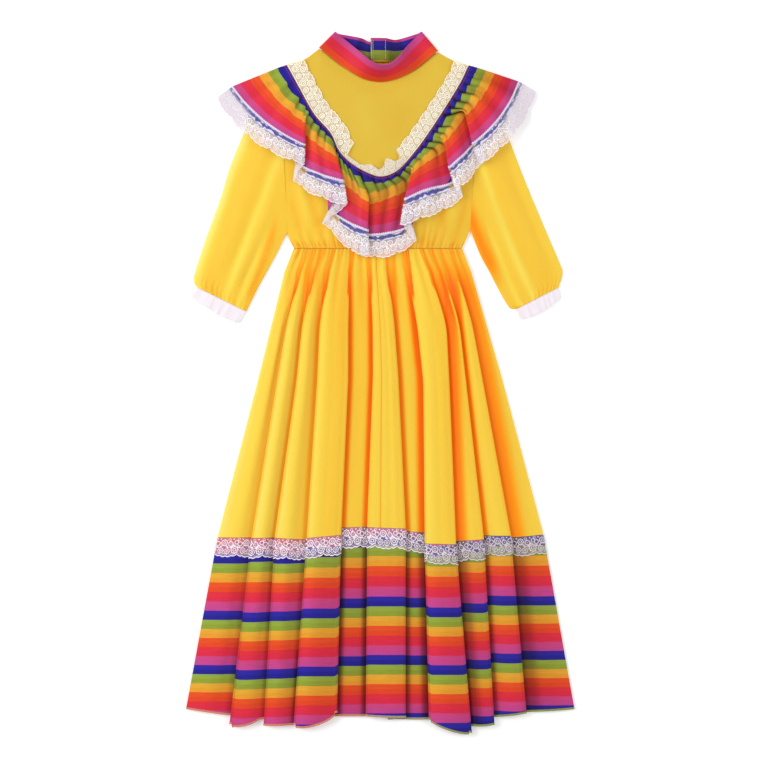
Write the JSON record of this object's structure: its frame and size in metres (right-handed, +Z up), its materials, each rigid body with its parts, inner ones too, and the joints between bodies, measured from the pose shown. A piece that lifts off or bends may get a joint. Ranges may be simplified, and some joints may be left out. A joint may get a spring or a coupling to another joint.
{
  "type": "child's folk dance dress",
  "caption": "Child's long-sleeved folk dance dress laid flat: yellow cloth, striped collar, gathered ruffle and hem band, white scalloped lace.",
  "frame": {"origin": "centre of the bounding box, on the surface the dress lies on", "axes": "+Y from the hem towards the collar, +Z up from the surface through the front of the dress, +X to the right as seen from above"},
  "size_m": [0.544, 0.9808, 0.0293],
  "materials": {
    "yellow_cloth": "soft satin",
    "striped_cloth": "soft satin",
    "white_lace": "matte"
  },
  "bodies": {
    "root": {"skirt_front_left": "yellow_cloth", "skirt_front_right": "yellow_cloth", "band_front": "striped_cloth", "skirt_lace": "white_lace", "skirt_back": "yellow_cloth", "band_back": "striped_cloth", "bodice_front": "yellow_cloth", "bodice_back_left": "yellow_cloth", "bodice_back_right": "yellow_cloth", "sleeve_left": "yellow_cloth", "sleeve_right": "yellow_cloth", "cuff_lace_left": "white_lace", "cuff_lace_right": "white_lace", "ruffle": "striped_cloth", "ruffle_lace": "white_lace", "yoke_lace": "white_lace", "collar": "striped_cloth"}
  },
  "joints": []
}
